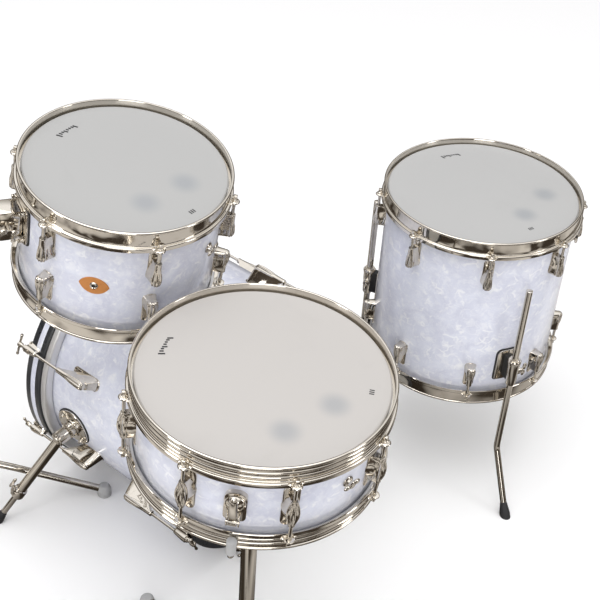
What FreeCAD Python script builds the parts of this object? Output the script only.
"""Four-piece acoustic drum kit: bass drum, rack tom, floor tom and snare drum on two stands.

Millimetres. The kit stands on the plane z = 0. The bass drum lies along Y with its front head
towards -Y, the drummer sits at +Y, and +X is the drummer's left. Each drum is first modelled
about its own centre with its batter side towards +Z, and is then turned and moved into the kit.
"""
import FreeCAD
import Part
import math
import os
from FreeCAD import Placement, Rotation, Vector

# ---------------------------------------------------------------- shells (outer radius, depth)
BASS_RADIUS, BASS_DEPTH = 229.0, 356.0
TOM_RADIUS, TOM_DEPTH = 152.0, 203.0
FLOOR_RADIUS, FLOOR_DEPTH = 178.0, 356.0
SNARE_RADIUS, SNARE_DEPTH = 177.0, 140.0
PLY = 6.2                  # wooden shell wall
WRAP = 0.8                 # plastic covering round the shell
EDGE_DROP = 3.0            # height of the sloped bearing edge
EDGE_FLAT = 1.0            # width of the bearing edge's crest
WRAP_INSET = 4.0           # bare wood between the wrap and the bearing edge

# ---------------------------------------------------------------- where each drum stands
TOM_CENTRE, TOM_TILT = Vector(225.5, 49.2, 746.8), 9.4
SNARE_CENTRE, SNARE_TILT = Vector(305.1, 413.9, 635.5), 3.4
FLOOR_CENTRE = Vector(-471.5, 283.6, 415.9)

# ---------------------------------------------------------------- drum heads
FILM = 0.6                 # film thickness
COLLAR = 0.8               # film where it turns down over the edge
COLLAR_GAP = 0.4           # clearance between shell and collar
FLESH_TOP, FLESH_HEIGHT, FLESH_WIDTH = 9.0, 5.0, 4.2

# ---------------------------------------------------------------- metal counter hoops
HOOP_WALL = 2.2
HOOP_RISE = 10.0           # rim above the bearing edge
HOOP_SKIRT = 24.5          # lower edge below the bearing edge
HOOP_GAP = 4.8             # inner wall radius beyond the shell
RIM_WIDTH = 4.2            # rolled rim
RIM_HEIGHT = 3.0
FLANGE_DROP = 16.0         # flange below the bearing edge
LIP_GAP = 11.9             # turned-down lip's radius beyond the shell
BEAD = 0.9                 # height of the beads rolled into the snare's hoops
EAR_RADIUS, EAR_HEIGHT = 8.0, 3.0
ROD_OFFSET = 15.0          # tension rod axis beyond the shell
ROD_RADIUS = 2.7
ROD_CLEARANCE = 0.25
WASHER_RADIUS, WASHER_HEIGHT = 5.6, 1.6
KEY_SIDE, KEY_HEIGHT = 6.4, 7.5

# ---------------------------------------------------------------- lugs of toms and snare
LUG_START, LUG_LENGTH = 28.5, 57.0
LUG_NOSE = 14.5            # base plate beyond the casing, at the rod's end
LUG_WIDTH, LUG_STAND = 22.0, 23.0
LUG_BASE = 3.0
LUG_SOCKET_RADIUS = 7.6
LUG_MOUTH_RADIUS = 5.0     # casing where the rod goes in
SNARE_LUG_LENGTH = 76.0
LUG_CORE = 2.0             # metal left between a double lug's two bores, each side of its middle
ROD_END_GAP = 1.0          # between a rod's end and its bore's bottom
ROD_DEPTH = 22.0           # rod length inside a lug
TOM_LUGS, TOM_LUG_START = 6, 4.0
FLOOR_LUGS, FLOOR_LUG_START = 8, -6.0
SNARE_LUGS, SNARE_LUG_START = 8, 10.0

# ---------------------------------------------------------------- bass drum fittings
BASS_LUGS, BASS_LUG_START = 8, 22.5
BASS_HOOP_THICK, BASS_HOOP_WIDTH = 16.0, 38.0
BASS_HOOP_GAP = 6.0        # hoop bore beyond the shell
BASS_HOOP_RISE = 25.0      # hoop edge beyond the bearing edge
BASS_FLESH_TOP, BASS_FLESH_HEIGHT, BASS_FLESH_WIDTH = 13.0, 13.0, 18.0
INLAY_WIDTH, INLAY_DEPTH = 12.0, 1.0
INLAY_OFFSET = 14.0        # inlay edge from the hoop's outer edge
BASS_ROD_GAP = 8.0         # rod axis outside the hoop
BASS_LUG_FROM, BASS_LUG_TO = 41.0, 118.0
BASS_LUG_WIDTH = 24.0
CLAW_WIDTH, CLAW_PLATE, CLAW_LIP = 28.0, 3.2, 10.0
CLAW_LENGTH = 27.0
HANDLE_LENGTH, HANDLE_RADIUS = 42.0, 2.6
HANDLE_OFFSET = 20.0       # handle beyond the hoop's edge

# ---------------------------------------------------------------- bass drum spurs
SPUR_ANGLE = 98.7          # degrees from the top of the shell
SPUR_Y = -99.0
SPUR_PLATE_RADIUS, SPUR_PLATE_THICK = 38.0, 3.0
GASKET_THICK, GASKET_MARGIN = 2.0, 2.0
SPUR_HOUSING_RADIUS = 15.0
SPUR_PIVOT = 32.0          # pivot height above the shell
SPUR_TIP = Vector(360.0, -187.0, 0.0)
SPUR_TUBE_RADIUS, SPUR_ROD_RADIUS = 9.5, 6.0
SPUR_TUBE_END, SPUR_CLAMP_LENGTH, SPUR_CLAMP_RADIUS = 152.0, 20.0, 13.0
SPUR_ROD_START = 62.0
SLIDE_CLEARANCE = 0.4
FOOT_RADIUS, FOOT_LENGTH = 10.5, 22.0

# ---------------------------------------------------------------- small fittings
KNOB_RADIUS, KNOB_HEIGHT = 7.0, 8.0
WING_LENGTH, WING_THICK = 26.0, 4.0
TOM_KNOB_AZ, TOM_KNOB_H = 104.0, 28.0
SNARE_KNOB_AZ, SNARE_KNOB_H = 83.0, 8.0
FLOOR_KNOB_AZ, FLOOR_KNOB_H = 112.0, 124.0
BADGE_AZ, BADGE_H = 32.5, -4.0
BADGE_LENGTH, BADGE_HEIGHT, BADGE_THICK = 46.0, 32.0, 0.8
VENT_RADIUS = 6.5

# ---------------------------------------------------------------- snare strainer
THROW_AZ = 32.0
STRAINER_WIDTH, STRAINER_HEIGHT, STRAINER_STAND = 30.0, 52.0, 16.0
LEVER_LENGTH, LEVER_WIDTH, LEVER_THICK = 54.0, 12.0, 4.0
WIRE_INSET = 12.0          # the wires stop this far inside the shell's radius
WIRE_LENGTH, WIRE_WIDTH, WIRE_THICK = 2 * (SNARE_RADIUS - WIRE_INSET), 42.0, 1.6
WIRE_GAP = 0.4             # between the wires and the film, snares on
WIRE_END_RADIUS = 1.0      # rolled end of the band at the butt plate, about which it swings

# ---------------------------------------------------------------- floor tom legs
LEG_AZIMUTHS = (61.5, -73.5, -163.5)   # each midway between two lugs
LEG_RADIUS = 6.3
LEG_OFFSET = 27.0          # leg axis beyond the shell
LEG_TOP, LEG_BEND, LEG_BEND_RADIUS = 510.0, 123.0, 30.0
LEG_REACH = 75.0           # foot beyond the straight leg
LEG_BLOCK_LOW, LEG_BLOCK_HIGH = 284.0, 353.0
LEG_PLATE_WIDTH, LEG_BLOCK_WIDTH = 44.0, 24.0

# ---------------------------------------------------------------- rack tom holder
BRACKET_AZ = -26.0
BRACKET_LOW, BRACKET_HIGH = -8.0, 62.0
BRACKET_WIDTH, BRACKET_BLOCK, BRACKET_STAND = 56.0, 34.0, 42.0
ARM_RADIUS = 9.5
ARM_RUN = 232.0            # corner of the arm from the tom's axis
ARM_BEND_RADIUS = 34.0

# ---------------------------------------------------------------- stands
TOM_STAND = Vector(345.0, -262.0, 0.0)
TOM_STAND_FOOT_RADIUS, TOM_STAND_LEG_AZ = 245.0, 135.5
SNARE_STAND_FOOT_RADIUS, SNARE_STAND_LEG_AZ = 235.0, 30.0
BASE_TUBE_RADIUS, UPPER_TUBE_RADIUS = 12.7, 9.5
STAND_LEG_RADIUS, STAND_HUB_RADIUS = 7.0, 19.0
STAND_HUB_LOW, STAND_HUB_HIGH = 62.0, 112.0
STAND_FOOT_HEIGHT = 26.0
TOM_BASE_TOP, TOM_TUBE_LOW = 470.0, 330.0
SNARE_BASE_TOP, SNARE_TUBE_LOW = 400.0, 260.0
SNARE_PIVOT_DROP = 128.0   # tilter below the drum's centre
BASKET_AZIMUTHS = (32.5, 167.5, 257.5)   # each midway between two lugs
BASKET_ROD = 5.0
TILT_BOLT_RADIUS, TILT_BOLT_LENGTH = 4.0, 54.0   # the basket tilts about this bolt
BASKET_GAP = 4.0           # room for the basket's hub to tilt over the tube's end
COLLAR_LENGTH, COLLAR_RADIUS = 26.0, 18.0

UP = Vector(0, 0, 1)


# ================================================================ helpers
def frame(azimuth, radius=0.0, height=0.0):
    """Placement on a drum's side: local X points outwards, local Z along the drum's axis."""
    turn = Rotation(UP, azimuth)
    return Placement(turn.multVec(Vector(radius, 0, height)), turn)


def placed(shape, placement):
    """Copy of a shape, moved by a placement."""
    copy = shape.copy()
    copy.Placement = placement.multiply(copy.Placement)
    return copy


def around(shape, count, start):
    """Copies of a shape at equal steps around the drum's axis."""
    return [placed(shape, frame(start + 360.0 * i / count)) for i in range(count)]


def upside_down(shapes):
    """Copies of a drum's top fittings for its other side, at the same azimuths."""
    flipped = []
    for shape in shapes:
        flipped.append(shape.mirror(Vector(0, 0, 0), UP))
    return flipped


def turned(points):
    """Solid of revolution about Z from (radius, height) points."""
    corners = [Vector(r, 0, z) for r, z in points]
    face = Part.Face(Part.makePolygon(corners + corners[:1]))
    return face.revolve(Vector(0, 0, 0), UP, 360)


def ring(inner, outer, low, high):
    """Plain ring about Z."""
    return turned([(inner, low), (outer, low), (outer, high), (inner, high)])


def bar(start, end, radius):
    """Round bar from one point to another."""
    span = end - start
    return Part.makeCylinder(radius, span.Length, start, span)


def block(x0, x1, width, z0, z1):
    """Box between two radial distances and two heights, centred across."""
    return Part.makeBox(x1 - x0, width, z1 - z0, Vector(x0, -width / 2.0, z0))


def bent_rod(points, bend, radius):
    """Round rod along straight runs that are joined by tangent arcs."""
    edges = []
    last = points[0]
    for before, corner, after in zip(points, points[1:], points[2:]):
        into = (corner - before).normalize()
        out = (after - corner).normalize()
        half = into.getAngle(out) / 2.0
        trim = bend * math.tan(half)
        arc_from = corner - into * trim
        arc_to = corner + out * trim
        inward = (out - into).normalize()
        middle = corner + inward * (bend / math.cos(half) - bend)
        edges.append(Part.LineSegment(last, arc_from).toShape())
        edges.append(Part.Arc(arc_from, middle, arc_to).toShape())
        last = arc_to
    edges.append(Part.LineSegment(last, points[-1]).toShape())
    path = Part.Wire(edges)
    start_way = points[1] - points[0]
    section = Part.Wire(Part.Circle(points[0], start_way, radius).toShape())
    return path.makePipeShell([section], True, False)


def above_floor(shape):
    """Shape with everything under the floor plane cut away."""
    box = shape.BoundBox
    keep = Part.makeBox(box.XLength + 2, box.YLength + 2, box.ZMax + 1,
                        Vector(box.XMin - 1, box.YMin - 1, 0))
    return shape.common(keep)


# ================================================================ shared drum pieces
def shell(radius, depth):
    """Wooden shell with sloped bearing edges, and the covering around it."""
    half = depth / 2.0
    crest = radius - WRAP - EDGE_DROP
    inner, wood = radius - WRAP - PLY, radius - WRAP
    outline = [(inner, -half + EDGE_DROP), (crest - EDGE_FLAT, -half), (crest, -half),
               (wood, -half + EDGE_DROP), (wood, half - EDGE_DROP), (crest, half),
               (crest - EDGE_FLAT, half), (inner, half - EDGE_DROP)]
    edge = half - WRAP_INSET
    return [turned(outline), ring(wood, radius, -edge, edge)]


def head(radius, depth, flesh_top, flesh_height, flesh_width):
    """Film, its turned-down collar and the flesh hoop that carries it, as one piece."""
    top = depth / 2.0
    inside = radius + COLLAR_GAP
    outside = inside + COLLAR
    hoop_outer = radius + flesh_width + COLLAR_GAP
    return turned([(0, top), (inside, top), (inside, top - flesh_top - flesh_height),
                   (hoop_outer, top - flesh_top - flesh_height), (hoop_outer, top - flesh_top),
                   (outside, top - flesh_top), (outside, top + FILM / 2.0),
                   (outside - FILM, top + FILM), (0, top + FILM)])


def metal_hoop(radius, depth, lugs, start, ridges):
    """Counter hoop: rolled rim, wall, presser step on the flesh hoop, flange, lip and ears."""
    top = depth / 2.0
    inner = radius + HOOP_GAP
    outer = inner + HOOP_WALL
    lip = radius + LIP_GAP
    rim, low = top + HOOP_RISE, top - HOOP_SKIRT
    flange, under = top - FLANGE_DROP, top - FLANGE_DROP - HOOP_WALL
    profile = [(inner, under), (lip - HOOP_WALL, under), (lip - HOOP_WALL, low), (lip, low),
               (lip, flange), (outer, flange)]
    beads = 3 if ridges else 0
    for i in range(beads):
        middle = flange + (rim - RIM_HEIGHT - flange) * (i + 0.5) / beads
        profile += [(outer, middle - 2.0), (outer + BEAD, middle - 0.8),
                    (outer + BEAD, middle + 0.8), (outer, middle + 2.0)]
    profile += [(outer, rim - RIM_HEIGHT), (inner + RIM_WIDTH, rim - RIM_HEIGHT),
                (inner + RIM_WIDTH + 0.6, rim - RIM_HEIGHT / 2.0), (inner + RIM_WIDTH - 0.8, rim),
                (inner + 0.8, rim), (inner, rim - 1.0)]
    press = top - FLESH_TOP
    press_in = radius + COLLAR_GAP + COLLAR + 0.8
    profile += [(inner, press + HOOP_WALL), (press_in, press + HOOP_WALL), (press_in, press), (inner, press)]
    hoop = turned(profile)
    axis = radius + ROD_OFFSET
    ear = Part.makeCylinder(EAR_RADIUS, EAR_HEIGHT, Vector(axis, 0, flange - EAR_HEIGHT))
    web = block(outer, axis, 2 * EAR_RADIUS, flange - EAR_HEIGHT, flange)
    hole = Part.makeCylinder(ROD_RADIUS + ROD_CLEARANCE, flange - low + 2.0, Vector(axis, 0, low - 1.0))
    hoop = hoop.fuse(around(ear.fuse(web), lugs, start))
    return hoop.cut(around(hole, lugs, start))


def tension_rod(radius, depth, reach):
    """Key rod with its washer, from above the hoop's ear down into the lug."""
    axis = radius + ROD_OFFSET
    seat = depth / 2.0 - FLANGE_DROP
    stem = Part.makeCylinder(ROD_RADIUS, seat - reach, Vector(axis, 0, reach))
    washer = Part.makeCylinder(WASHER_RADIUS, WASHER_HEIGHT, Vector(axis, 0, seat))
    key = Part.makeBox(KEY_SIDE, KEY_SIDE, KEY_HEIGHT,
                       Vector(axis - KEY_SIDE / 2.0, -KEY_SIDE / 2.0, seat + WASHER_HEIGHT))
    return stem.fuse([washer, key])


def teardrop_lug(radius, depth):
    """Single-ended lug: base plate on the shell and a casing that widens away from the hoop."""
    top = depth / 2.0 - LUG_START
    low = top - LUG_LENGTH
    axis = radius + ROD_OFFSET
    mouth = top - LUG_NOSE
    length = mouth - low
    casing = turned([(0, 0), (LUG_MOUTH_RADIUS, 0), (LUG_MOUTH_RADIUS + 0.5, -length * 0.2),
                     (LUG_SOCKET_RADIUS * 0.85, -length * 0.5), (LUG_SOCKET_RADIUS + 0.6, -length * 0.78),
                     (LUG_SOCKET_RADIUS, -length * 0.9), (LUG_SOCKET_RADIUS * 0.55, -length * 0.98),
                     (0, -length)])
    casing.translate(Vector(axis, 0, mouth))
    web = block(radius - LUG_BASE, axis, 2 * LUG_MOUTH_RADIUS * 0.9, low + length * 0.2, mouth - 1.0)
    base = block(radius - LUG_BASE, radius + LUG_BASE, LUG_WIDTH, low + LUG_WIDTH / 2.0, top)
    tip = Part.makeCylinder(LUG_WIDTH / 2.0, 2 * LUG_BASE,
                            Vector(radius - LUG_BASE, 0, low + LUG_WIDTH / 2.0), Vector(1, 0, 0))
    body = casing.fuse([web, base, tip])
    body = body.cut(Part.makeCylinder(radius, depth, Vector(0, 0, -depth / 2.0)))
    bore = Part.makeCylinder(ROD_RADIUS + ROD_CLEARANCE, ROD_DEPTH, Vector(axis, 0, mouth - ROD_DEPTH))
    return body.cut(bore)


def double_lug(radius, length):
    """Double-ended snare lug, widest at its middle."""
    axis = radius + ROD_OFFSET
    half = length / 2.0
    mouth = half - LUG_NOSE
    nose, waist = LUG_MOUTH_RADIUS, LUG_SOCKET_RADIUS
    casing = turned([(0, -mouth), (nose, -mouth), (nose + 0.5, -mouth * 0.75), (waist, -mouth * 0.4),
                     (waist + 1.2, 0), (waist, mouth * 0.4), (nose + 0.5, mouth * 0.75), (nose, mouth), (0, mouth)])
    casing.translate(Vector(axis, 0, 0))
    web = block(radius - LUG_BASE, axis, 2 * nose * 0.9, 1.0 - mouth, mouth - 1.0)
    reach = half - LUG_WIDTH / 2.0
    base = block(radius - LUG_BASE, radius + LUG_BASE, LUG_WIDTH, -reach, reach)
    tips = [Part.makeCylinder(LUG_WIDTH / 2.0, 2 * LUG_BASE, Vector(radius - LUG_BASE, 0, side * reach),
                              Vector(1, 0, 0)) for side in (-1, 1)]
    body = casing.fuse([web, base] + tips)
    body = body.cut(Part.makeCylinder(radius, 2 * length, Vector(0, 0, -length)))
    depth = mouth - LUG_CORE
    bores = [Part.makeCylinder(ROD_RADIUS + ROD_CLEARANCE, depth, Vector(axis, 0, z)) for z in (-mouth, LUG_CORE)]
    return body.cut(bores)


def wing_knob(radius, azimuth, height):
    """Muffler knob: a round boss with two wings, turning about a line out of the shell."""
    out = Vector(1, 0, 0)
    gap = 0.3
    boss = Part.makeCylinder(KNOB_RADIUS, KNOB_HEIGHT, Vector(radius + gap + 1.0, 0, 0), out)
    stem = Part.makeCylinder(KNOB_RADIUS * 0.5, 2.0, Vector(radius + gap, 0, 0), out)
    wing = Part.makeBox(WING_THICK, WING_LENGTH, WING_THICK * 1.6,
                        Vector(radius + gap + KNOB_HEIGHT - 1.5, -WING_LENGTH / 2.0, -WING_THICK * 0.8))
    return placed(boss.fuse([stem, wing]), frame(azimuth, 0, height))


def drum_pieces(radius, depth, lugs, start, lug, rod_reach, ridges=False):
    """Pieces that every tom and snare drum has, about the drum's own centre."""
    top_head = head(radius, depth, FLESH_TOP, FLESH_HEIGHT, FLESH_WIDTH)
    top_hoop = metal_hoop(radius, depth, lugs, start, ridges)
    top_rods = around(tension_rod(radius, depth, rod_reach), lugs, start)
    return {
        "shell": shell(radius, depth),
        "batter_head": [top_head],
        "resonant_head": upside_down([top_head]),
        "top_hoop": [top_hoop],
        "bottom_hoop": upside_down([top_hoop]),
        "lugs": lug,
        "tension_rods": top_rods + upside_down(top_rods),
    }


def named(prefix, pieces, placement):
    """Kit nodes from a drum's pieces: their names prefixed and their solids moved into place."""
    return {prefix + "_" + name: [placed(s, placement) for s in shapes] for name, shapes in pieces.items()}


# ================================================================ rack tom
def tom_placement():
    """Where the rack tom hangs, tilted towards the drummer."""
    return Placement(TOM_CENTRE, Rotation(Vector(1, 0, 0), -TOM_TILT))


def bracket_bore_height():
    """Height of the holder's bore above the rack tom's centre, along the drum's axis."""
    return (BRACKET_LOW + BRACKET_HIGH) / 2.0


def rack_tom():
    """Rack tom with its badge, holder bracket and muffler knob."""
    lug = teardrop_lug(TOM_RADIUS, TOM_DEPTH)
    lugs = around(lug, TOM_LUGS, TOM_LUG_START)
    reach = TOM_DEPTH / 2.0 - LUG_START - LUG_NOSE - ROD_DEPTH + ROD_END_GAP
    pieces = drum_pieces(TOM_RADIUS, TOM_DEPTH, TOM_LUGS, TOM_LUG_START, lugs + upside_down(lugs), reach)
    pieces["badge"] = [badge(TOM_RADIUS)]
    pieces["bracket"], pieces["bracket_gasket"] = holder_bracket()
    pieces["muffler_knob"] = [wing_knob(TOM_RADIUS, TOM_KNOB_AZ, TOM_KNOB_H)]
    return named("tom", pieces, tom_placement())


def badge(radius):
    """Pointed oval plate bent round the shell, with the air vent's eyelet through it."""
    half_length, half_height = BADGE_LENGTH / 2.0, BADGE_HEIGHT / 2.0
    ends = [Vector(0, -half_length, 0), Vector(0, half_length, 0)]
    upper = Part.Arc(ends[0], Vector(0, 0, half_height), ends[1]).toShape()
    lower = Part.Arc(ends[1], Vector(0, 0, -half_height), ends[0]).toShape()
    face = Part.Face(Part.Wire([upper, lower]))
    prism = face.extrude(Vector(2 * radius, 0, 0))
    plate = prism.common(ring(radius, radius + BADGE_THICK, -BADGE_HEIGHT, BADGE_HEIGHT))
    eyelet = Part.makeCylinder(VENT_RADIUS, 4.0, Vector(radius - 1.0, 0, 0), Vector(1, 0, 0))
    vent = Part.makeCylinder(VENT_RADIUS * 0.5, 6.0, Vector(radius - 2.0, 0, 0), Vector(1, 0, 0))
    eyelet = eyelet.cut(Part.makeCylinder(radius, BADGE_HEIGHT, Vector(0, 0, -BADGE_HEIGHT / 2.0)))
    return placed(plate.fuse(eyelet).cut(vent), frame(BADGE_AZ, 0, BADGE_H))


def holder_bracket():
    """Curved plate on the rack tom with its clamp block, and the gasket under the plate."""
    low, high = BRACKET_LOW, BRACKET_HIGH
    bore_height = bracket_bore_height()
    margin = GASKET_MARGIN
    gasket_outer = TOM_RADIUS + GASKET_THICK
    plate_outer = gasket_outer + SPUR_PLATE_THICK
    wide = block(TOM_RADIUS * 0.7, plate_outer + 5, BRACKET_WIDTH, low, high)
    wider = block(TOM_RADIUS * 0.7, plate_outer + 5, BRACKET_WIDTH + 2 * margin, low - margin, high + margin)
    gasket = wider.common(ring(TOM_RADIUS, gasket_outer, low - 5, high + 5))
    plate = wide.common(ring(gasket_outer, plate_outer, low - 5, high + 5))
    body = block(gasket_outer, TOM_RADIUS + BRACKET_STAND, BRACKET_BLOCK, low + 8, high - 8)
    body = body.cut(Part.makeCylinder(gasket_outer, 2 * TOM_DEPTH, Vector(0, 0, -TOM_DEPTH)))
    bore = Part.makeCylinder(ARM_RADIUS + SLIDE_CLEARANCE, BRACKET_STAND + 5,
                             Vector(TOM_RADIUS + GASKET_THICK + 4, 0, bore_height), Vector(1, 0, 0))
    clamp = plate.fuse(body).cut(bore)
    # the clamp screw stands on the block's side, across the bore
    screw_at = Vector(TOM_RADIUS + BRACKET_STAND * 0.65, BRACKET_BLOCK / 2.0, bore_height)
    screw = Part.makeCylinder(5.0, 12.0, screw_at, Vector(0, 1, 0))
    wing = Part.makeBox(WING_LENGTH, 5.0, 6.0, screw_at + Vector(-WING_LENGTH / 2.0, 9.0, -3.0))
    clamp = clamp.fuse([screw, wing])
    where = frame(BRACKET_AZ)
    return [placed(clamp, where)], [placed(gasket, where)]


def arm_points():
    """Arm route: out of the tom's bracket, round a corner, to the stand's post."""
    tilt = tom_placement()
    outward = tilt.Rotation.multVec(Rotation(UP, BRACKET_AZ).multVec(Vector(1, 0, 0)))
    bore = tilt.multVec(Vector(0, 0, bracket_bore_height()))
    start = bore + outward * (TOM_RADIUS + GASKET_THICK + 6)
    corner = bore + outward * ARM_RUN
    post = Vector(TOM_STAND.x, TOM_STAND.y, corner.z)
    return start, corner, post


# ================================================================ floor tom
def floor_tom():
    """Floor tom with three leg brackets, their gaskets, and its muffler knob."""
    lugs = around(teardrop_lug(FLOOR_RADIUS, FLOOR_DEPTH), FLOOR_LUGS, FLOOR_LUG_START)
    reach = FLOOR_DEPTH / 2.0 - LUG_START - LUG_NOSE - ROD_DEPTH + ROD_END_GAP
    pieces = drum_pieces(FLOOR_RADIUS, FLOOR_DEPTH, FLOOR_LUGS, FLOOR_LUG_START,
                         lugs + upside_down(lugs), reach)
    bracket, gasket = leg_bracket()
    pieces["leg_brackets"] = [placed(bracket, frame(az)) for az in LEG_AZIMUTHS]
    pieces["leg_gaskets"] = [placed(gasket, frame(az)) for az in LEG_AZIMUTHS]
    pieces["muffler_knob"] = [wing_knob(FLOOR_RADIUS, FLOOR_KNOB_AZ, FLOOR_KNOB_H)]
    nodes = named("floor_tom", pieces, Placement(FLOOR_CENTRE, Rotation()))
    for number, azimuth in enumerate(LEG_AZIMUTHS, start=1):
        nodes["floor_tom_leg_%d" % number] = [floor_leg(azimuth)]
    return nodes


def leg_bracket():
    """Plate, tapered block and wing bolt that clamp one leg, and the gasket under the plate."""
    low = LEG_BLOCK_LOW - FLOOR_CENTRE.z
    high = LEG_BLOCK_HIGH - FLOOR_CENTRE.z
    gasket_outer = FLOOR_RADIUS + GASKET_THICK
    plate_outer = gasket_outer + SPUR_PLATE_THICK
    margin = GASKET_MARGIN
    near = FLOOR_RADIUS * 0.7
    slab = block(near, plate_outer + 5, LEG_PLATE_WIDTH, low, high)
    slab_wide = block(near, plate_outer + 5, LEG_PLATE_WIDTH + 2 * margin, low - margin, high + margin)
    plate = slab.common(ring(gasket_outer, plate_outer, low - 5, high + 5))
    gasket = slab_wide.common(ring(FLOOR_RADIUS, gasket_outer, low - 5, high + 5))
    axis = FLOOR_RADIUS + LEG_OFFSET
    body = Part.makeCone(LEG_BLOCK_WIDTH * 0.42, LEG_BLOCK_WIDTH * 0.55, high - low - 12, Vector(axis, 0, low + 6))
    neck = block(gasket_outer, axis, LEG_BLOCK_WIDTH * 0.7, low + 10, high - 10)
    neck = neck.cut(Part.makeCylinder(gasket_outer, FLOOR_DEPTH, Vector(0, 0, -FLOOR_DEPTH / 2.0)))
    bolt_at = Vector(axis, LEG_BLOCK_WIDTH * 0.3, (low + high) / 2.0)
    bolt = Part.makeCylinder(4.0, 20.0, bolt_at, Vector(0, 1, 0))
    wing = Part.makeBox(5.0, 7.0, WING_LENGTH, bolt_at + Vector(-2.5, 17.0, -WING_LENGTH / 2.0))
    bore = Part.makeCylinder(LEG_RADIUS + SLIDE_CLEARANCE, FLOOR_DEPTH, Vector(axis, 0, -FLOOR_DEPTH / 2.0))
    return plate.fuse([body, neck, bolt, wing]).cut(bore), gasket


def floor_leg(azimuth):
    """Dog-leg rod that stands on the floor with a rubber foot."""
    where = frame(azimuth)
    axis = FLOOR_RADIUS + LEG_OFFSET
    end = Vector(axis + LEG_REACH, 0, 0)
    bend = Vector(axis, 0, LEG_BEND)
    run = (end - bend).normalize()
    rod_end = end - run * (FOOT_LENGTH * 0.5)
    rod = bent_rod([Vector(axis, 0, LEG_TOP), bend, rod_end], LEG_BEND_RADIUS, LEG_RADIUS)
    foot = bar(end - run * (FOOT_LENGTH + 10), end + run * FOOT_RADIUS, FOOT_RADIUS)
    leg = above_floor(rod.fuse(foot))
    shift = Placement(Vector(FLOOR_CENTRE.x, FLOOR_CENTRE.y, 0), Rotation())
    return placed(placed(leg, where), shift)


# ================================================================ snare drum
def snare_placement():
    """Where the snare drum sits in its basket, tilted towards the drummer."""
    return Placement(SNARE_CENTRE, Rotation(Vector(1, 0, 0), -SNARE_TILT))


def snare_drum():
    """Snare drum with its strainer, lever, butt plate, wires and muffler knob."""
    lugs = around(double_lug(SNARE_RADIUS, SNARE_LUG_LENGTH), SNARE_LUGS, SNARE_LUG_START)
    reach = LUG_CORE + ROD_END_GAP
    pieces = drum_pieces(SNARE_RADIUS, SNARE_DEPTH, SNARE_LUGS, SNARE_LUG_START, lugs, reach, ridges=True)
    pieces["strainer"] = [strainer()]
    pieces["throw_lever"] = [throw_lever()]
    pieces["butt_plate"] = [butt_plate()]
    pieces["wires"] = [wires()]
    pieces["muffler_knob"] = [wing_knob(SNARE_RADIUS, SNARE_KNOB_AZ, SNARE_KNOB_H)]
    return named("snare", pieces, snare_placement())


def lever_pivot():
    """Lever pivot: radius from the snare's axis and height above its centre."""
    return SNARE_RADIUS + STRAINER_STAND + 6.0, -STRAINER_HEIGHT * 0.25


def on_snare_side(body):
    """Body with the snare shell's curve cut out of its back."""
    return body.cut(Part.makeCylinder(SNARE_RADIUS, 2 * SNARE_DEPTH, Vector(0, 0, -SNARE_DEPTH)))


def strainer():
    """Strainer housing on the shell with a domed cover and two cheeks for the lever."""
    radius, low = SNARE_RADIUS, -STRAINER_HEIGHT / 2.0
    pivot_r, pivot_h = lever_pivot()
    housing = block(radius - 4, radius + STRAINER_STAND - 6, STRAINER_WIDTH, low, -low)
    dome = Part.makeCylinder(STRAINER_WIDTH * 0.48, STRAINER_STAND, Vector(radius - 4, 0, 8), Vector(1, 0, 0))
    body = on_snare_side(housing.fuse(dome))
    cheek_gap = LEVER_WIDTH / 2.0 + 0.4
    for side in (-1, 1):
        y0 = cheek_gap if side > 0 else -cheek_gap - 3.0
        cheek = Part.makeBox(STRAINER_STAND + 4, 3.0, 18.0, Vector(radius + 6, y0, pivot_h - 9.0))
        body = body.fuse(cheek)
    body = body.cut(bar(Vector(pivot_r, -20, pivot_h), Vector(pivot_r, 20, pivot_h), 2.4))
    # keep the lever's sweep between the cheeks free
    room = block(radius + STRAINER_STAND - 6, radius + STRAINER_STAND + 20, 2 * cheek_gap,
                 pivot_h - 12, pivot_h + LEVER_LENGTH)
    return placed(body.cut(room), frame(THROW_AZ))


def throw_lever():
    """Lever on its pin; up is snares on, and it swings down and outwards."""
    pivot_r, pivot_h = lever_pivot()
    half = LEVER_WIDTH / 2.0
    hub = bar(Vector(pivot_r, -half, pivot_h), Vector(pivot_r, half, pivot_h), 5.0)
    pin = bar(Vector(pivot_r, -half - 4.0, pivot_h), Vector(pivot_r, half + 4.0, pivot_h), 2.0)
    tilt = Rotation(Vector(0, 1, 0), 12)
    arm = Part.makeBox(LEVER_THICK, LEVER_WIDTH, LEVER_LENGTH, Vector(-LEVER_THICK / 2.0, -half, 0))
    pad = Part.makeCylinder(half, LEVER_THICK, Vector(-LEVER_THICK / 2.0, 0, LEVER_LENGTH), Vector(1, 0, 0))
    arm = placed(arm.fuse(pad), Placement(Vector(pivot_r, 0, pivot_h), tilt))
    return placed(hub.fuse([pin, arm]), frame(THROW_AZ))


def butt_plate():
    """Fixed end of the snare wires, opposite the strainer."""
    body = block(SNARE_RADIUS - 4, SNARE_RADIUS + 11, STRAINER_WIDTH + 6, -20, 20)
    clamp = block(SNARE_RADIUS + 6, SNARE_RADIUS + 15, STRAINER_WIDTH - 4, -16, 2)
    return placed(on_snare_side(body.fuse(clamp)), frame(THROW_AZ + 180))


def wire_pivot():
    """Butt end of the wires, about which the band swings: distance from the snare's axis and height."""
    return WIRE_LENGTH / 2.0, -SNARE_DEPTH / 2.0 - FILM - WIRE_GAP - max(WIRE_THICK / 2.0, WIRE_END_RADIUS)


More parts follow.
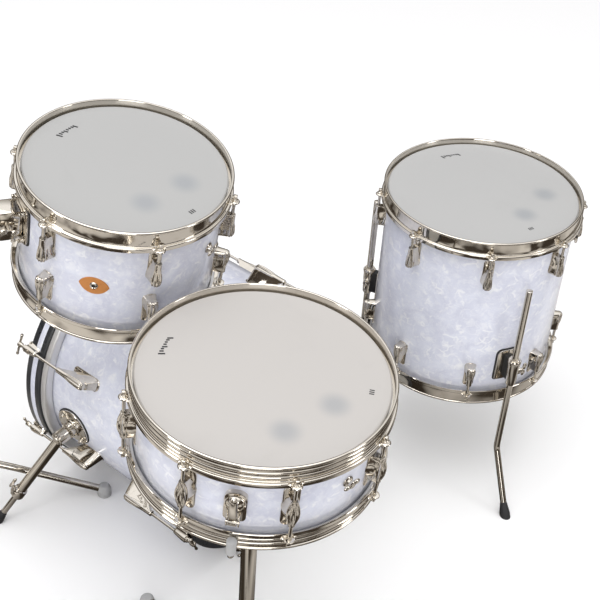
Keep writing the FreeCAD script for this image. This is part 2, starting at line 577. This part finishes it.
def wires():
    """Snare wires as one flat band under the lower head, running to the strainer."""
    reach, middle = wire_pivot()
    half = WIRE_WIDTH / 2.0
    band = Part.makeBox(WIRE_LENGTH, WIRE_WIDTH, WIRE_THICK, Vector(-reach, -half, middle - WIRE_THICK / 2.0))
    end = bar(Vector(-reach, -half, middle), Vector(-reach, half, middle), WIRE_END_RADIUS)
    return placed(band.fuse(end), frame(THROW_AZ))


# ================================================================ bass drum
def bass_placement():
    """The bass drum lies on both hoops, batter side towards the drummer."""
    centre = Vector(0, 0, bass_hoop_radius())
    return Placement(centre, Rotation(Vector(1, 0, 0), -90))


def bass_hoop_radius():
    """Outer radius of the wooden hoops, which stand on the floor."""
    return BASS_RADIUS + BASS_HOOP_GAP + BASS_HOOP_THICK


def bass_drum():
    """Bass drum: shell, heads, wooden hoops with inlays, lugs, claws and T-rods."""
    half = BASS_DEPTH / 2.0
    inner, outer = BASS_RADIUS + BASS_HOOP_GAP, bass_hoop_radius()
    edge = half + BASS_HOOP_RISE
    batter = head(BASS_RADIUS, BASS_DEPTH, BASS_FLESH_TOP, BASS_FLESH_HEIGHT, BASS_FLESH_WIDTH)
    channel = ring(outer - INLAY_DEPTH, outer + 1, edge - INLAY_OFFSET - INLAY_WIDTH, edge - INLAY_OFFSET)
    hoop = ring(inner, outer, edge - BASS_HOOP_WIDTH, edge).cut(channel)
    inlay = ring(outer - INLAY_DEPTH, outer, edge - INLAY_OFFSET - INLAY_WIDTH, edge - INLAY_OFFSET)
    claws = around(claw(edge), BASS_LUGS, BASS_LUG_START)
    rods = around(t_rod(edge), BASS_LUGS, BASS_LUG_START)
    lugs = around(bass_lug(), BASS_LUGS, BASS_LUG_START)
    pieces = {
        "shell": shell(BASS_RADIUS, BASS_DEPTH),
        "batter_head": [batter], "front_head": upside_down([batter]),
        "batter_hoop": [hoop], "front_hoop": upside_down([hoop]),
        "hoop_inlays": [inlay] + upside_down([inlay]),
        "lugs": lugs + upside_down(lugs),
        "claws": claws + upside_down(claws),
        "t_rods": rods + upside_down(rods),
    }
    return named("bass", pieces, bass_placement())


def claw(edge):
    """Claw hook over the hoop's edge, with the ear that the T-rod pulls on."""
    outer = bass_hoop_radius()
    rod = outer + BASS_ROD_GAP
    plate = block(outer, outer + CLAW_PLATE, CLAW_WIDTH, edge - CLAW_LENGTH, edge + CLAW_PLATE)
    lip = block(outer - CLAW_LIP, outer + CLAW_PLATE, CLAW_WIDTH, edge, edge + CLAW_PLATE)
    ear = block(outer + CLAW_PLATE, rod, 14, edge - 8, edge + CLAW_PLATE)
    ear = ear.fuse(Part.makeCylinder(7.0, CLAW_PLATE + 8, Vector(rod, 0, edge - 8)))
    body = plate.fuse([lip, ear])
    return body.cut(Part.makeCylinder(ROD_RADIUS + ROD_CLEARANCE, 200, Vector(rod, 0, edge - 100)))


def t_rod(edge):
    """Rod with a T handle, through the claw's ear into the lug."""
    axis = bass_hoop_radius() + BASS_ROD_GAP
    top = edge + HANDLE_OFFSET
    stem = Part.makeCylinder(ROD_RADIUS, top - BASS_LUG_TO + ROD_DEPTH, Vector(axis, 0, BASS_LUG_TO - ROD_DEPTH))
    seat = Part.makeCylinder(WASHER_RADIUS, WASHER_HEIGHT * 2, Vector(axis, 0, edge + CLAW_PLATE))
    reach = HANDLE_LENGTH / 2.0
    handle = bar(Vector(axis, -reach, top), Vector(axis, reach, top), HANDLE_RADIUS)
    return stem.fuse([seat, handle])


def bass_lug():
    """Long lug standing high enough for the rod to clear the hoop."""
    axis = bass_hoop_radius() + BASS_ROD_GAP
    length = BASS_LUG_TO - BASS_LUG_FROM
    casing = turned([(0, 0), (LUG_MOUTH_RADIUS, 0), (LUG_MOUTH_RADIUS + 0.6, -length * 0.25), (7.0, -length * 0.5),
                     (8.2, -length * 0.8), (7.4, -length * 0.9), (4.2, -length * 0.98), (0, -length)])
    casing.translate(Vector(axis, 0, BASS_LUG_TO))
    web = block(BASS_RADIUS - LUG_BASE, axis, 9.0, BASS_LUG_FROM + 8, BASS_LUG_TO - 2)
    base = block(BASS_RADIUS - LUG_BASE, BASS_RADIUS + LUG_BASE, BASS_LUG_WIDTH,
                 BASS_LUG_FROM + BASS_LUG_WIDTH / 2.0, BASS_LUG_TO)
    tip = Part.makeCylinder(BASS_LUG_WIDTH / 2.0, 2 * LUG_BASE,
                            Vector(BASS_RADIUS - LUG_BASE, 0, BASS_LUG_FROM + BASS_LUG_WIDTH / 2.0),
                            Vector(1, 0, 0))
    body = casing.fuse([web, base, tip])
    body = body.cut(Part.makeCylinder(BASS_RADIUS, BASS_DEPTH, Vector(0, 0, -BASS_DEPTH / 2.0)))
    bore = Part.makeCylinder(ROD_RADIUS + ROD_CLEARANCE, ROD_DEPTH + 1.0,
                             Vector(axis, 0, BASS_LUG_TO - ROD_DEPTH - 1.0))
    return body.cut(bore)


# ================================================================ bass drum spurs
def spur_radial():
    """Direction out of the shell at the left spur."""
    angle = math.radians(SPUR_ANGLE)
    return Vector(math.sin(angle), 0, math.cos(angle))


def spur_pivot():
    """Left spur's pivot point in the kit."""
    centre = Vector(0, SPUR_Y, bass_hoop_radius())
    return centre + spur_radial() * (BASS_RADIUS + SPUR_PIVOT)


def mirrored(shape):
    """Same piece on the drummer's right."""
    return shape.mirror(Vector(0, 0, 0), Vector(1, 0, 0))


def spurs():
    """Brackets and gaskets on the shell, and the two telescoping legs."""
    radial = spur_radial()
    centre = Vector(0, SPUR_Y, bass_hoop_radius())
    drum = Part.makeCylinder(BASS_RADIUS, BASS_DEPTH, Vector(0, -BASS_DEPTH / 2.0, centre.z), Vector(0, 1, 0))
    gasket_face = Part.makeCylinder(BASS_RADIUS + GASKET_THICK, BASS_DEPTH,
                                    Vector(0, -BASS_DEPTH / 2.0, centre.z), Vector(0, 1, 0))
    plate_face = Part.makeCylinder(BASS_RADIUS + GASKET_THICK + SPUR_PLATE_THICK, BASS_DEPTH,
                                   Vector(0, -BASS_DEPTH / 2.0, centre.z), Vector(0, 1, 0))
    near = centre + radial * (BASS_RADIUS * 0.8)
    round_plate = bar(near, centre + radial * (BASS_RADIUS + 20), SPUR_PLATE_RADIUS)
    round_gasket = bar(near, centre + radial * (BASS_RADIUS + 20), SPUR_PLATE_RADIUS + GASKET_MARGIN)
    gasket = round_gasket.common(gasket_face).cut(drum)
    plate = round_plate.common(plate_face).cut(gasket_face)
    pivot = spur_pivot()
    post = bar(centre + radial * (BASS_RADIUS * 0.9), pivot - radial * (SPUR_HOUSING_RADIUS + 0.4), SPUR_HOUSING_RADIUS)
    plate = plate.fuse(post.cut(gasket_face))

    way = (SPUR_TIP - pivot).normalize()
    hub = Part.makeSphere(SPUR_HOUSING_RADIUS, pivot)
    tube = bar(pivot, pivot + way * SPUR_TUBE_END, SPUR_TUBE_RADIUS)
    clamp = bar(pivot + way * SPUR_TUBE_END, pivot + way * (SPUR_TUBE_END + SPUR_CLAMP_LENGTH), SPUR_CLAMP_RADIUS)
    across = way.cross(Vector(0, 1, 0)).normalize()
    screw_at = pivot + way * (SPUR_TUBE_END + SPUR_CLAMP_LENGTH / 2.0)
    screw = bar(screw_at, screw_at + across * (SPUR_CLAMP_RADIUS + 12), 3.2)
    tube = hub.fuse([tube, clamp, screw])
    bore_end = pivot + way * (SPUR_TUBE_END + SPUR_CLAMP_LENGTH + 5)
    tube = tube.cut(bar(pivot + way * 8, bore_end, SPUR_ROD_RADIUS + SLIDE_CLEARANCE))

    length = (SPUR_TIP - pivot).Length
    rod = bar(pivot + way * SPUR_ROD_START, SPUR_TIP - way * FOOT_LENGTH * 0.5, SPUR_ROD_RADIUS)
    foot = bar(SPUR_TIP - way * (FOOT_LENGTH + 8), pivot + way * (length + FOOT_RADIUS), FOOT_RADIUS)
    rod = above_floor(rod.fuse(foot))
    return {
        "spur_brackets": [plate, mirrored(plate)], "spur_gaskets": [gasket, mirrored(gasket)],
        "spur_tube_left": [tube], "spur_tube_right": [mirrored(tube)],
        "spur_rod_left": [rod], "spur_rod_right": [mirrored(rod)],
    }


# ================================================================ stands
def stand_base(at, tube_top, foot_radius, leg_azimuth):
    """Outer tube on a hub with three low legs, and the clamp collar at the tube's top."""
    tube = ring(UPPER_TUBE_RADIUS + SLIDE_CLEARANCE, BASE_TUBE_RADIUS, STAND_HUB_LOW - 12, tube_top)
    hub = ring(BASE_TUBE_RADIUS, STAND_HUB_RADIUS, STAND_HUB_LOW, STAND_HUB_HIGH)
    collar = ring(BASE_TUBE_RADIUS, COLLAR_RADIUS, tube_top - COLLAR_LENGTH, tube_top)
    bolt_height = tube_top - COLLAR_LENGTH / 2.0
    bolt = bar(Vector(BASE_TUBE_RADIUS + 1, 0, bolt_height), Vector(COLLAR_RADIUS + 18, 0, bolt_height), 4.0)
    wing = Part.makeBox(6, WING_LENGTH + 6, 7, Vector(COLLAR_RADIUS + 14, -WING_LENGTH / 2.0 - 3, bolt_height - 3.5))
    legs = []
    for step in range(3):
        inner_end = Vector(BASE_TUBE_RADIUS + 3, 0, STAND_HUB_HIGH - 12)
        knee = Vector(foot_radius * 0.3, 0, STAND_HUB_LOW + 18)
        outer_end = Vector(foot_radius, 0, STAND_FOOT_HEIGHT * 0.5)
        rod = bent_rod([inner_end, knee, outer_end], 60.0, STAND_LEG_RADIUS)
        foot = Part.makeCylinder(FOOT_RADIUS + 3.5, STAND_FOOT_HEIGHT, Vector(foot_radius, 0, 0))
        legs.append(placed(rod.fuse(foot), frame(leg_azimuth + 120.0 * step)))
    inside = Part.makeCylinder(UPPER_TUBE_RADIUS + SLIDE_CLEARANCE, tube_top, Vector(0, 0, STAND_HUB_LOW - 12))
    base = tube.fuse([hub, collar, bolt, wing]).cut(inside)
    shift = Placement(Vector(at.x, at.y, 0), Rotation())
    return [placed(base, shift)], [placed(leg.cut(ring(0.01, STAND_HUB_RADIUS, 0, 200)), shift) for leg in legs]


def tom_stand():
    """Floor stand that holds the rack tom from outside the bass drum."""
    start, corner, post = arm_points()
    base, legs = stand_base(TOM_STAND, TOM_BASE_TOP, TOM_STAND_FOOT_RADIUS, TOM_STAND_LEG_AZ)
    tube_top = post.z - COLLAR_RADIUS
    upper = Part.makeCylinder(UPPER_TUBE_RADIUS, tube_top - TOM_TUBE_LOW, Vector(post.x, post.y, TOM_TUBE_LOW))
    arm = bent_rod([start, corner, post], ARM_BEND_RADIUS, ARM_RADIUS)
    head_block = Part.makeCylinder(COLLAR_RADIUS, 2 * COLLAR_RADIUS, Vector(post.x, post.y, tube_top))
    cap = Part.makeSphere(COLLAR_RADIUS * 0.8, Vector(post.x, post.y, post.z + COLLAR_RADIUS))
    return {
        "tom_stand_base": base, "tom_stand_legs": legs,
        "tom_stand_tube": [upper], "tom_holder_arm": [arm.fuse([head_block, cap])],
    }


def snare_pivot():
    """Tilt pivot of the snare basket, under the drum's centre."""
    at = snare_placement().multVec(Vector(0, 0, -SNARE_PIVOT_DROP))
    return Vector(at.x, at.y, at.z)


def snare_stand():
    """Floor stand with a three-armed basket that carries the snare drum by its lower hoop."""
    pivot = snare_pivot()
    base, legs = stand_base(pivot, SNARE_BASE_TOP, SNARE_STAND_FOOT_RADIUS, SNARE_STAND_LEG_AZ)
    tube_top = pivot.z - COLLAR_RADIUS - BASKET_GAP
    upper = Part.makeCylinder(UPPER_TUBE_RADIUS, tube_top - SNARE_TUBE_LOW,
                              Vector(pivot.x, pivot.y, SNARE_TUBE_LOW))
    hub = Part.makeCylinder(COLLAR_RADIUS, 2 * COLLAR_RADIUS, Vector(0, 0, -SNARE_PIVOT_DROP - COLLAR_RADIUS))
    bolt = bar(Vector(-TILT_BOLT_LENGTH / 2.0, 0, -SNARE_PIVOT_DROP),
               Vector(TILT_BOLT_LENGTH / 2.0, 0, -SNARE_PIVOT_DROP), TILT_BOLT_RADIUS)
    under = -SNARE_DEPTH / 2.0 - HOOP_RISE - BASKET_ROD - 0.3
    edge = SNARE_RADIUS + LIP_GAP
    arms = []
    for azimuth in BASKET_AZIMUTHS:
        route = [Vector(6, 0, -SNARE_PIVOT_DROP), Vector(edge * 0.6, 0, under - 12),
                 Vector(edge + BASKET_ROD + 3, 0, under), Vector(edge + BASKET_ROD + 3, 0, under + 34)]
        arms.append(placed(bent_rod(route, 9.0, BASKET_ROD), frame(azimuth)))
    basket = placed(hub.fuse([bolt] + arms), snare_placement())
    return {
        "snare_stand_base": base, "snare_stand_legs": legs,
        "snare_stand_tube": [upper], "snare_stand_basket": [basket],
    }


# ================================================================ kit
def kit():
    """Every node of the kit, in the kit's own frame."""
    nodes = {}
    for group in (bass_drum(), spurs(), rack_tom(), tom_stand(), floor_tom(), snare_drum(), snare_stand()):
        nodes.update(group)
    return nodes


def centring(nodes):
    """Shift that puts the kit's footprint centre over the origin and its feet at z = 0."""
    box = Part.makeCompound([s for shapes in nodes.values() for s in shapes]).optimalBoundingBox(False)
    return Vector(-box.Center.x, -box.Center.y, -box.ZMin)


def main():
    """Build the kit and write one STEP file for each node."""
    nodes = kit()
    shift = Placement(centring(nodes), Rotation())
    os.makedirs("parts", exist_ok=True)
    for name, shapes in nodes.items():
        solids = [s for shape in shapes for s in placed(shape, shift).Solids]
        body = solids[0] if len(solids) == 1 else Part.makeCompound(solids)
        body.exportStep("parts/" + name + ".step")
    print(len(nodes), "nodes", shift.Base)


main()
